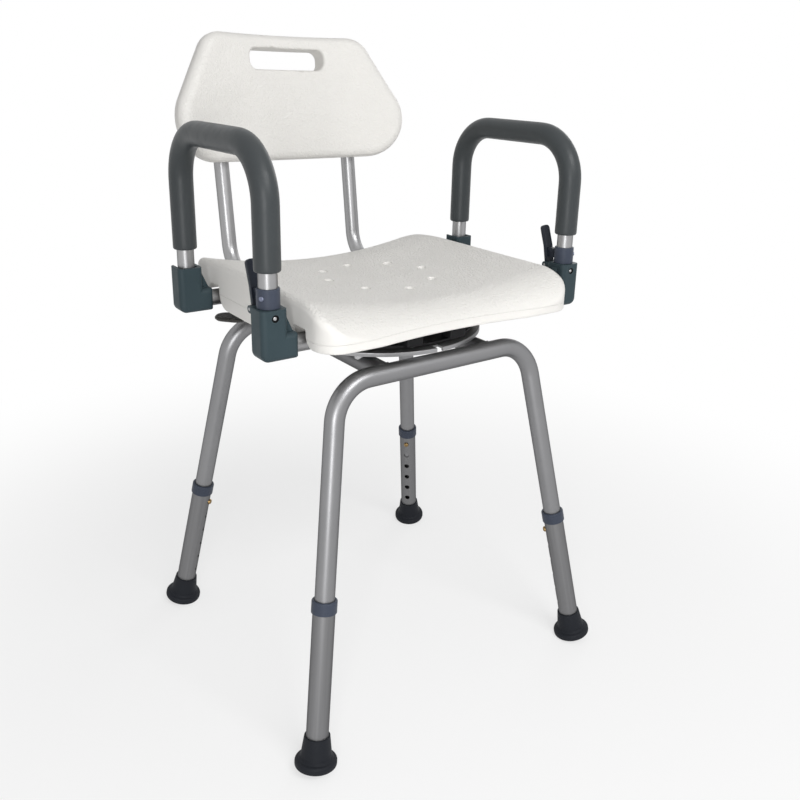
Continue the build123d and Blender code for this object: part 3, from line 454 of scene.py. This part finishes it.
# Finishes of single pieces
backUp = (0, 0.134, 0.991)  # the backrest leans back
backOut = (0, 0.991, -0.134)
paddle = {
    "colour": (0.045, 0.043, 0.040), "rough": 0.5, "specular": 0.3, "dark": 0.8,
    "hatch": 0.0032, "bump": 1.0, "bumpDepth": 0.0006,
}
# A paler copy of the shell for the drain throats: painted light standing in for the lit walls of the holes
paintedLightDrain = {
    "colour": (0.88, 0.865, 0.835), "rough": 0.45, "dark": 0.97,
    "grainScale": 300.0, "bump": 0.2, "bumpDepth": 0.0005,
}
rivet = {"colour": (0.20, 0.22, 0.30), "metal": 0.9, "rough": 0.3}
# The hoops' colour is a lighter copy of the leg metal: painted light for the brighter highlight on the hoops; their
# lower roughness is a gloss setting
hoop = {"colour": (0.27, 0.27, 0.277), "rough": 0.40}
seat = {"facing": (0, 0, 1), "seam": ((0, 0, 1), 0.5415)}
# The backrest's colour is a slightly darker copy of the shell's: painted shade that dims the brightly lit backrest
back = {"colour": (0.795, 0.78, 0.75), "bump": 0.6, "facing": (0, 1, 0), "seam": (backOut, 0.1557)}
materials["paddle"] = makeFinish("paddle", paddle)
materials["paintedLightDrain"] = makeFinish("paintedLightDrain", paintedLightDrain)
materials["rivet"] = makeFinish("rivet", {**finishes["steel"], **rivet})
materials["hoop"] = makeFinish("hoop", {**finishes["leg_metal"], **hoop})
materials["seat"] = makeFinish("seat", {**finishes["shell"], **seat})
materials["back"] = makeFinish("back", {**finishes["shell"], **back})
print("finishes made:", len(materials))


corners = ("front_left", "front_right", "rear_left", "rear_right")
streaks = {"toneScale": 260.0, "streakScale": 420.0, "dark": 0.86}  # of drawn tube


def jointNamed(name):
    return next(joint for joint in frame["record"]["behaviour"]["joints"] if joint["name"] == name)


def dressNodes():
    own = {"seat_shell": "seat", "backrest_panel": "back", "lock_lever_grip": "paddle"}
    own["front_leg_hoop"] = own["rear_leg_hoop"] = "hoop"
    own["left_arm_rivet"] = own["right_arm_rivet"] = "rivet"
    drawn = {"side_rails": (0, 1, 0), "front_cross_tube": (1, 0, 0), "rear_cross_tube": (1, 0, 0)}
    drawn["left_back_tube"] = drawn["right_back_tube"] = backUp
    for corner in corners:
        drawn[corner + "_leg_tube"] = jointNamed(corner + "_leg_height")["axis"]
    slotOf = {entry["node"]: entry["material_slot"] for entry in frame["record"]["subparts"]}
    for name, obj in nodes.items():
        slot = own.get(name, slotOf[name])
        material = materials[slot]
        if name in drawn:
            material = makeFinish(name, {**finishes[slot], **streaks, "drawn": drawn[name]})
        obj.data.materials.clear()
        obj.data.materials.append(material)


dressNodes()
print("CAD nodes dressed")


# Foam arm grips: one soft sleeve per arm, bent over the top of the tube
gripSettings = {
    "sides": 40,
    "legSteps": 16,
    "bendSteps": 16,
    "topSteps": 10,
    "bend": 0.062,  # centre line radius of the arm tube
    "frontRise": 0.017,  # the front end is higher than the rear one
    "endRound": 0.002,
    "endPart": 0.3,  # share of the rounding up to its middle ring
    "bore": 0.0112,
}


def lastRing(result):
    return [e for e in result["geom_last"] if isinstance(e, bmesh.types.BMEdge)]


def extrudeRing(bm, ring, move, scale=None, centre=None):
    result = bmesh.ops.extrude_edge_only(bm, edges=ring)
    verts = [v for v in result["geom"] if isinstance(v, bmesh.types.BMVert)]
    bmesh.ops.translate(bm, verts=verts, vec=move)
    if scale:
        offset = Matrix.Translation(-Vector(centre))
        bmesh.ops.scale(bm, vec=(scale, scale, 1), space=offset, verts=verts)
    edges = [e for e in result["geom"] if isinstance(e, bmesh.types.BMEdge)]
    return [e for e in edges if all(v in verts for v in e.verts)]


def foamGrip(side, s):
    node = side + "_arm_grip"
    low, high = (Vector(c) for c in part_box(node))
    radius = (high.x - low.x) / 2
    x = (low.x + high.x) / 2
    rearY = high.y - radius
    frontY = low.y + radius
    topZ = high.z - radius
    rearZ = low.z
    frontZ = rearZ + s["frontRise"]
    bendZ = topZ - s["bend"]
    firstRise = s["endRound"] * s["endPart"]
    nextRise = s["endRound"] - firstRise
    endRadius = radius - s["endRound"]
    middleRadius = radius - firstRise
    bm = bmesh.new()
    bmesh.ops.create_circle(bm, cap_ends=False, radius=s["bore"], segments=s["sides"])
    bmesh.ops.translate(bm, verts=bm.verts, vec=(x, rearY, rearZ + s["endRound"]))
    ring = bm.edges[:]
    axis = (x, rearY, 0)
    ring = extrudeRing(bm, ring, (0, 0, -s["endRound"]))
    ring = extrudeRing(bm, ring, (0, 0, 0), endRadius / s["bore"], axis)
    ring = extrudeRing(bm, ring, (0, 0, firstRise), middleRadius / endRadius, axis)
    ring = extrudeRing(bm, ring, (0, 0, nextRise), radius / middleRadius, axis)
    climb = (bendZ - rearZ - s["endRound"]) / s["legSteps"]
    for step in range(s["legSteps"]):
        ring = extrudeRing(bm, ring, (0, 0, climb))
    quarter = {"angle": math.radians(90), "steps": s["bendSteps"], "axis": (1, 0, 0), "use_duplicate": False}
    ring = lastRing(bmesh.ops.spin(bm, geom=ring, cent=(x, rearY - s["bend"], bendZ), **quarter))
    run = (frontY - rearY + 2 * s["bend"]) / s["topSteps"]
    for step in range(s["topSteps"]):
        ring = extrudeRing(bm, ring, (0, run, 0))
    ring = lastRing(bmesh.ops.spin(bm, geom=ring, cent=(x, frontY + s["bend"], bendZ), **quarter))
    axis = (x, frontY, 0)
    fall = (bendZ - frontZ - s["endRound"]) / s["legSteps"]
    for step in range(s["legSteps"]):
        ring = extrudeRing(bm, ring, (0, 0, -fall))
    ring = extrudeRing(bm, ring, (0, 0, -nextRise), middleRadius / radius, axis)
    ring = extrudeRing(bm, ring, (0, 0, -firstRise), endRadius / middleRadius, axis)
    ring = extrudeRing(bm, ring, (0, 0, 0), s["bore"] / endRadius, axis)
    extrudeRing(bm, ring, (0, 0, s["endRound"]))
    bmesh.ops.remove_doubles(bm, verts=bm.verts, dist=0.00001)
    bmesh.ops.recalc_face_normals(bm, faces=bm.faces)
    return bm, node


# A piece named in no slot of its own takes the slot of its finish
def finishPiece(bm, name, finish, body, levels=0, sharp=35):
    mesh = bpy.data.meshes.new(name)
    bm.to_mesh(mesh)
    bm.free()
    mesh.shade_smooth()
    mesh.set_sharp_from_angle(angle=math.radians(sharp))
    mesh.materials.append(materials[finish])
    piece = bpy.data.objects.new(name, mesh)
    scene.collection.objects.link(piece)
    if levels:
        smooth = piece.modifiers.new("smooth", "SUBSURF")
        smooth.levels = levels
        smooth.render_levels = levels
    if body:  # a piece given no body is left unattached
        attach(piece, body)
    return piece


for side in ("left", "right"):
    bm, node = foamGrip(side, gripSettings)
    grip = finishPiece(bm, side + "FoamGrip", "foam", side + "_arm", levels=1, sharp=80)
    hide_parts(node)
print("foam grips made")


# Latch levers: moulded, with a rounded tip and a hollowed front
leverSettings = {
    "width": 0.013,
    "thick": 0.0066,
    "kink": (0.0055, 0.0260),  # y and z from the hinge pin
    "top": (0.0157, 0.0543),
    "tipRound": 0.0048,
    "edgeRound": 0.0007,
    "rim": 0.0019,
    "hollow": 0.0014,
    "knuckle": 0.0045,
    "nose": (0.008, 0.005, 0.022),  # width, height and rise of its middle
    "web": (0.006, 0.0135, 0.0178),
    "webShort": 0.001,  # the web stops this far behind the nose
    "tipSteps": 6,
    "edgeSteps": 2,
    "edgeAngle": 35,  # degrees past which an edge is softened
    "frontFacing": -0.7,  # y of the normal of a face at the front
    "knuckleSides": 32,
}


def sharpEdges(bm, degrees):
    least = math.radians(degrees)
    return [e for e in bm.edges if len(e.link_faces) == 2 and e.calc_face_angle() > least]


def softenEdges(bm, edges, offset, segments):
    bmesh.ops.bevel(bm, geom=edges, offset=offset, segments=segments, profile=0.5, affect="EDGES", material=-1)


def latchLever(side, s):
    node = side + "_latch_lever"
    pivot = Vector(jointNamed(side + "_latch_turn")["pos_m"])
    kink = pivot + Vector((0, *s["kink"]))
    top = pivot + Vector((0, *s["top"]))
    first, second = kink - pivot, top - kink
    lean = math.atan2(first.y, first.z)
    bend = math.atan2(second.y, second.z) - lean
    bm = bmesh.new()
    bmesh.ops.create_cube(bm, size=1)
    bmesh.ops.scale(bm, vec=(s["width"], s["thick"], first.length), verts=bm.verts)
    bmesh.ops.translate(bm, vec=(0, 0, first.length / 2), verts=bm.verts)
    bmesh.ops.rotate(bm, cent=(0, 0, 0), matrix=Matrix.Rotation(-lean, 3, "X"), verts=bm.verts)
    bmesh.ops.translate(bm, vec=pivot, verts=bm.verts)
    end = max(bm.faces, key=lambda f: f.calc_center_median().z)
    half = Matrix.Rotation(-bend / 2, 3, "X")
    bmesh.ops.rotate(bm, cent=kink, matrix=half, verts=end.verts[:])
    grown = bmesh.ops.extrude_face_region(bm, geom=[end])["geom"]
    tips = [v for v in grown if isinstance(v, bmesh.types.BMVert)]
    bmesh.ops.delete(bm, geom=[end], context="FACES_ONLY")
    bmesh.ops.translate(bm, vec=second, verts=tips)
    bmesh.ops.rotate(bm, cent=top, matrix=half, verts=tips)
    tipEdges = [e for e in bm.edges if all(v in tips for v in e.verts)]
    tipSides = [e for e in tipEdges if math.isclose(e.verts[0].co.x, e.verts[1].co.x, abs_tol=0.0001)]
    softenEdges(bm, tipSides, s["tipRound"], s["tipSteps"])
    bmesh.ops.recalc_face_normals(bm, faces=bm.faces)
    front = [f for f in bm.faces if f.normal.y < s["frontFacing"]]
    bmesh.ops.inset_region(bm, faces=front, thickness=s["rim"], depth=-s["hollow"], use_even_offset=True)
    softenEdges(bm, sharpEdges(bm, s["edgeAngle"]), s["edgeRound"], s["edgeSteps"])
    across = Matrix.Translation(pivot) @ Matrix.Rotation(math.radians(90), 4, "Y")
    barrel = {"segments": s["knuckleSides"], "radius1": s["knuckle"], "radius2": s["knuckle"], "depth": s["width"]}
    bmesh.ops.create_cone(bm, cap_ends=True, matrix=across, **barrel)
    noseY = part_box(node)[0][1]
    for (wide, high, rise), reach in ((s["nose"], noseY), (s["web"], noseY + s["webShort"])):
        size = Matrix.Diagonal((wide, kink.y - reach, high, 1))
        middle = Vector((pivot.x, (kink.y + reach) / 2, pivot.z + rise))
        bmesh.ops.create_cube(bm, size=1, matrix=Matrix.Translation(middle) @ size)
    bmesh.ops.recalc_face_normals(bm, faces=bm.faces)
    lever = finishPiece(bm, side + "LatchLever", "lever_navy", side + "_latch")
    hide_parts(node)


for side in ("left", "right"):
    latchLever(side, leverSettings)
print("latch levers made")


# Bracket screws: a bright pan head down in a counterbore lined in black, painted shade for the dark of the recess
screwSettings = {
    "bore": 0.0042,
    "depth": 0.0025,
    "head": 0.0025,
    "headProud": 0.0019,
    "crown": 0.85,  # top of the head, as a share of its foot
    "crownRound": 0.0006,
    "crownSteps": 3,
    "crownAngle": 45,  # degrees past which an edge is softened
    "innerRing": 0.5,  # the bore's floor stops under the head
    "boreSides": 40,
    "headSides": 32,
}


def bracketScrews(s):
    low, high = (Vector(c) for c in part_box("bracket_screws"))
    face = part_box("front_left_arm_bracket")[0][1]
    x = high.x - (high.z - low.z) / 2
    z = (low.z + high.z) / 2
    boreShade = bmesh.new()
    heads = bmesh.new()
    for side in (-1, 1):
        upright = Matrix.Translation((side * x, face, z)) @ Matrix.Rotation(math.radians(-90), 4, "X")
        rim = {"radius": s["bore"], "segments": s["boreSides"], "matrix": upright}
        ring = bmesh.ops.create_circle(boreShade, cap_ends=False, **rim)["verts"]
        edges = list({e for v in ring for e in v.link_edges})
        edges = extrudeRing(boreShade, edges, (0, s["depth"], 0))
        inner = extrudeRing(boreShade, edges, (0, 0, 0))
        verts = list({v for e in inner for v in e.verts})
        inward = (s["innerRing"], 1, s["innerRing"])
        bmesh.ops.scale(boreShade, vec=inward, space=Matrix.Translation((-side * x, 0, -z)), verts=verts)
        middle = Matrix.Translation((side * x, face + s["depth"] - s["headProud"] / 2, z))
        stand = middle @ Matrix.Rotation(math.radians(90), 4, "X")
        pan = {"radius1": s["head"], "radius2": s["head"] * s["crown"], "depth": s["headProud"]}
        bmesh.ops.create_cone(heads, cap_ends=True, segments=s["headSides"], matrix=stand, **pan)
    softenEdges(heads, sharpEdges(heads, s["crownAngle"]), s["crownRound"], s["crownSteps"])
    for bm in (boreShade, heads):
        bmesh.ops.recalc_face_normals(bm, faces=bm.faces)
    # The black liner of each counterbore is painted shade
    finishPiece(boreShade, "screwBoreShade", "plate_black", "seat")
    pins = finishPiece(heads, "screwHeads", "steel", "seat")
    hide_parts("bracket_screws")


bracketScrews(screwSettings)


# Cross recesses in the heads of the four backrest screws, as black crosses: painted shade for the dark of the
# recesses
recessSettings = {
    "lean": math.radians(7.7),  # of the backrest
    "head": 0.005,
    "rowGap": 0.072,
    "arm": (0.0056, 0.0012, 0.0008),  # length, width and depth
    "turns": (45, 135),  # degrees
}


def screwRecessShade(s):
    low, high = (Vector(c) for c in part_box("backrest_screws"))
    upward = Vector((0, math.sin(s["lean"]), math.cos(s["lean"])))
    x = high.x - s["head"]
    lower = Vector((0, high.y - s["head"] * upward.y, low.z + s["head"] * upward.z))
    lower.y -= s["rowGap"] * upward.y
    bm = bmesh.new()
    for side in (-1, 1):
        for row in (0, 1):
            place = lower + row * s["rowGap"] * upward + Vector((side * x, 0, 0))
            for turn in s["turns"]:
                spin = Matrix.Rotation(math.radians(turn), 4, "Z")
                stand = Matrix.Rotation(math.radians(-90) - s["lean"], 4, "X")
                arm = stand @ spin @ Matrix.Diagonal((*s["arm"], 1))
                bmesh.ops.create_cube(bm, size=1, matrix=Matrix.Translation(place) @ arm)
    # Black crosses: painted shade
    finishPiece(bm, "screwRecessShade", "plate_black", "seat")


screwRecessShade(recessSettings)
print("screws made")


# Drain holes: flared throats that catch the light, in a paler copy of the shell's colour: painted light for the
# brightly lit hole walls
drainSettings = {
    "count": 8,
    "circle": 0.078,
    "mouth": 0.00705,
    "lip": 0.0004,  # below the seat's face
    "throat": 0.0044,
    "flare": 0.006,
    "depth": 0.0085,  # ends inside the wall
    "segments": 40,
    "wall": 0.0003,
    "probe": 1.06,  # the face is felt for just outside the mouth
    "probeFrom": 0.01,  # above the seat
}


def paintedLightThroats(s):
    shell = nodes["seat_shell"].data
    surface = BVHTree.FromPolygons([v.co for v in shell.vertices], [f.vertices[:] for f in shell.polygons])
    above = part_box("seat_shell")[1][2] + s["probeFrom"]
    down = Vector((0, 0, -1))
    narrow = s["throat"] / s["mouth"]
    bm = bmesh.new()
    for index in range(s["count"]):
        angle = 2 * math.pi * index / s["count"]
        centre = Vector((s["circle"] * math.cos(angle), s["circle"] * math.sin(angle), 0))
        hole = {"segments": s["segments"], "radius": s["mouth"], "matrix": Matrix.Translation(centre)}
        ring = bmesh.ops.create_circle(bm, **hole)["verts"]
        for v in ring:
            rim = centre + (v.co - centre) * s["probe"]
            v.co.z = surface.ray_cast(Vector((rim.x, rim.y, above)), down)[0].z - s["lip"]
        mouthLow = min(v.co.z for v in ring)
        edges = list({e for v in ring for e in v.link_edges})
        edges = extrudeRing(bm, edges, (0, 0, -s["flare"]))
        low = list({v for e in edges for v in e.verts})
        bmesh.ops.scale(bm, vec=(narrow, narrow, 1), space=Matrix.Translation(-centre), verts=low)
        edges = extrudeRing(bm, edges, (0, 0, 0))
        for v in {v for e in edges for v in e.verts}:
            v.co.z = mouthLow - s["depth"]
    bmesh.ops.solidify(bm, geom=bm.faces[:], thickness=-s["wall"])
    bmesh.ops.recalc_face_normals(bm, faces=bm.faces)
    # The throats' paler colour is painted light
    finishPiece(bm, "paintedLightThroats", "paintedLightDrain", "seat")


paintedLightThroats(drainSettings)
print("drain throats made")


def snapButton(corner):
    node = corner + "_snap_button"
    bm = bmesh.new()
    bm.from_mesh(nodes[node].data)
    bmesh.ops.remove_doubles(bm, verts=bm.verts, dist=0.000001)
    words = [word.capitalize() for word in corner.split("_")]
    button = finishPiece(bm, "snapButton" + "".join(words), "button_brass", None)
    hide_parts(node)
    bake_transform(button)


for corner in corners:
    snapButton(corner)
print("snap buttons made")


# Weld beads where the side rails meet the leg hoops
weldSettings = {
    "points": 72,
    "bead": 0.0017,
    "ripple": 0.3,
    "ripples": 18,
    "sink": 0.0004,
    "thin": 0.25,  # share of the bead left where the tubes only touch
    "taper": 1.6,
    "roundness": 3,
}


def weldBead(side, end, s):
    low, high = (Vector(c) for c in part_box("side_rails"))
    radius = (high.z - low.z) / 2
    x = high.x - radius
    z = (low.z + high.z) / 2
    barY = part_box("rear_leg_hoop")[0][1] + radius
    data = bpy.data.curves.new("weldBead", "CURVE")
    data.dimensions = "3D"
    data.bevel_depth = s["bead"]
    data.bevel_resolution = s["roundness"]
    line = data.splines.new("POLY")
    line.points.add(s["points"] - 1)
    line.use_cyclic_u = True
    around = radius - s["sink"]
    for index, point in enumerate(line.points):
        angle = 2 * math.pi * index / s["points"]
        across = math.cos(angle)
        y = end * (barY - around * abs(across))
        point.co = (side * x + around * across, y, z + around * math.sin(angle), 1)
        wave = 1 + s["ripple"] * math.cos(angle * s["ripples"])
        point.radius = wave * (s["thin"] + (1 - s["thin"]) * min(1, s["taper"] * abs(across)))
    data.materials.append(materials["leg_metal"])
    name = "weld" + ("Rear" if end > 0 else "Front") + ("Right" if side > 0 else "Left")
    bead = bpy.data.objects.new(name, data)
    scene.collection.objects.link(bead)
    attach(bead, "base")


for side in (-1, 1):
    for end in (-1, 1):
        weldBead(side, end, weldSettings)
print("welds made")


# Studio: pale floor that fades to white, white surround, soft lights
studioSettings = {
    "floorSize": 30.0,
    "floorColour": (0.9, 0.9, 0.9, 1.0),
    "floorRough": 0.9,
    "floorWhite": 0.65,  # share of plain white near the feet
    "fadeStart": 0.35,
    "fadeEnd": 1.3,
    "ambient": 0.33,
    "aim": (0, 0, 0.5),  # all lamps point here
    "lights": {
        "key": {"place": (0.0, -1.7, 1.9), "size": (1.2, 0.6), "power": 24.5},
        "camera": {"place": (-1.2, -1.5, 0.7), "size": (0.4, 0.8), "power": 13.0},
        "right": {"place": (2.3, 1.2, 1.2), "size": (1.2, 1.2), "power": 8.0},
        "top": {"place": (0.1, -0.3, 2.2), "size": (1.4, 1.4), "power": 1.5},
    },
}


def whiteForRays(tree, place):
    path = addNode(tree, "ShaderNodeLightPath", place)
    seen = addNode(tree, "ShaderNodeMath", (place[0] + 200, place[1]), operation="MAXIMUM")
    tree.links.new(path.outputs["Is Camera Ray"], seen.inputs[0])
    tree.links.new(path.outputs["Is Glossy Ray"], seen.inputs[1])
    every = addNode(tree, "ShaderNodeMath", (place[0] + 400, place[1]), operation="MAXIMUM")
    tree.links.new(seen.outputs[0], every.inputs[0])
    tree.links.new(path.outputs["Is Transmission Ray"], every.inputs[1])
    return every.outputs[0]


def makeFloor(s):
    bm = bmesh.new()
    bmesh.ops.create_grid(bm, x_segments=1, y_segments=1, size=s["floorSize"] / 2)
    mesh = bpy.data.meshes.new("floor")
    bm.to_mesh(mesh)
    bm.free()
    floor = bpy.data.objects.new("floor", mesh)
    scene.collection.objects.link(floor)
    material = bpy.data.materials.new("paleFloor")
    material.use_nodes = True
    tree = material.node_tree
    link = tree.links.new
    shader = tree.nodes["Principled BSDF"]
    shader.inputs["Base Color"].default_value = s["floorColour"]
    shader.inputs["Roughness"].default_value = s["floorRough"]
    output = tree.nodes["Material Output"]
    coords = addNode(tree, "ShaderNodeTexCoord", (-900, -300))
    length = addNode(tree, "ShaderNodeVectorMath", (-700, -300), operation="LENGTH")
    link(coords.outputs["Object"], length.inputs[0])
    fade = addNode(tree, "ShaderNodeMapRange", (-500, -300), interpolation_type="SMOOTHSTEP")
    fade.inputs["From Min"].default_value = s["fadeStart"]
    fade.inputs["From Max"].default_value = s["fadeEnd"]
    fade.inputs["To Min"].default_value = s["floorWhite"]
    link(length.outputs["Value"], fade.inputs["Value"])
    seen = whiteForRays(tree, (-900, -600))
    both = addNode(tree, "ShaderNodeMath", (-250, -400), operation="MULTIPLY")
    link(fade.outputs["Result"], both.inputs[0])
    link(seen, both.inputs[1])
    white = addNode(tree, "ShaderNodeEmission", (-100, -200), Strength=1.0)
    mix = addNode(tree, "ShaderNodeMixShader", (150, 0))
    link(both.outputs[0], mix.inputs["Fac"])
    link(shader.outputs["BSDF"], mix.inputs[1])
    link(white.outputs["Emission"], mix.inputs[2])
    link(mix.outputs["Shader"], output.inputs["Surface"])
    mesh.materials.append(material)


def makeSurround(s):
    world = bpy.data.worlds.new("studio")
    scene.world = world
    world.use_nodes = True
    tree = world.node_tree
    background = tree.nodes["Background"]
    background.inputs["Color"].default_value = (1, 1, 1, 1)
    seen = whiteForRays(tree, (-900, 0))
    strength = addNode(tree, "ShaderNodeMapRange", (-300, 0))
    strength.inputs["To Min"].default_value = s["ambient"]
    strength.inputs["To Max"].default_value = 1.0
    tree.links.new(seen, strength.inputs["Value"])
    tree.links.new(strength.outputs["Result"], background.inputs["Strength"])


def makeLights(s):
    aim = Vector(s["aim"])
    for name, light in s["lights"].items():
        data = bpy.data.lights.new(name, "AREA")
        data.shape = "RECTANGLE"
        data.size, data.size_y = light["size"]
        data.energy = light["power"]
        lamp = bpy.data.objects.new(name, data)
        place = Vector(light["place"])
        turn = (place - aim).to_track_quat("Z", "Y").to_matrix().to_4x4()
        lamp.matrix_world = Matrix.Translation(place) @ turn
        scene.collection.objects.link(lamp)


makeFloor(studioSettings)
makeSurround(studioSettings)
makeLights(studioSettings)
print("studio set")
